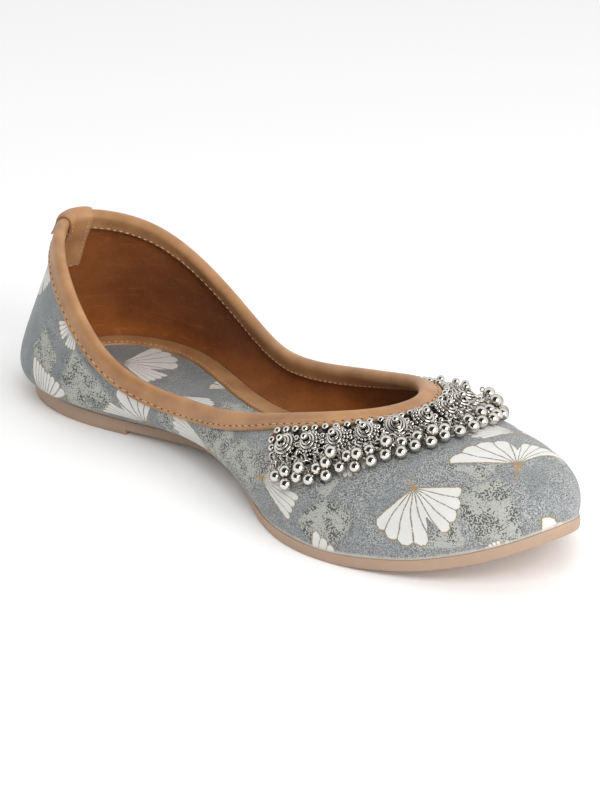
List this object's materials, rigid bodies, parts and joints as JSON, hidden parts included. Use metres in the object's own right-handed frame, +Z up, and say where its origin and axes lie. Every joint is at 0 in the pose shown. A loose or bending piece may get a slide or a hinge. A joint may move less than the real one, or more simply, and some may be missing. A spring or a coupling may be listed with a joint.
{
  "type": "embellished ballet flat",
  "caption": "Low flat shoe with a printed cloth upper, tan leather binding round the collar, silver bell trim at the throat and a moulded rubber sole.",
  "frame": {"origin": "on the floor under the middle of the shoe's box", "axes": "+X to the toe, +Y to the wearer's left, +Z up from the floor"},
  "size_m": [0.2522, 0.0912, 0.0608],
  "materials": {
    "sole_rubber": "matte pinkish tan moulded rubber",
    "printed_cloth": "grey cloth printed with white leaf fans",
    "tan_leather": "smooth tan leather, stitched",
    "silver_metal": "polished silver-plated metal"
  },
  "bodies": {
    "root": {"outsole": "sole_rubber", "upper": "printed_cloth", "collar_binding": "tan_leather", "heel_tab": "tan_leather", "insole": "printed_cloth", "insole_border": "tan_leather", "rosette_01": "silver_metal", "bell_cluster_01": "silver_metal", "rosette_02": "silver_metal", "bell_cluster_02": "silver_metal", "rosette_03": "silver_metal", "bell_cluster_03": "silver_metal", "rosette_04": "silver_metal", "bell_cluster_04": "silver_metal", "rosette_05": "silver_metal", "bell_cluster_05": "silver_metal", "rosette_06": "silver_metal", "bell_cluster_06": "silver_metal", "rosette_07": "silver_metal", "bell_cluster_07": "silver_metal", "rosette_08": "silver_metal", "bell_cluster_08": "silver_metal", "rosette_09": "silver_metal", "bell_cluster_09": "silver_metal", "rosette_10": "silver_metal", "bell_cluster_10": "silver_metal", "rosette_11": "silver_metal", "bell_cluster_11": "silver_metal", "rosette_12": "silver_metal", "bell_cluster_12": "silver_metal"}
  },
  "joints": []
}
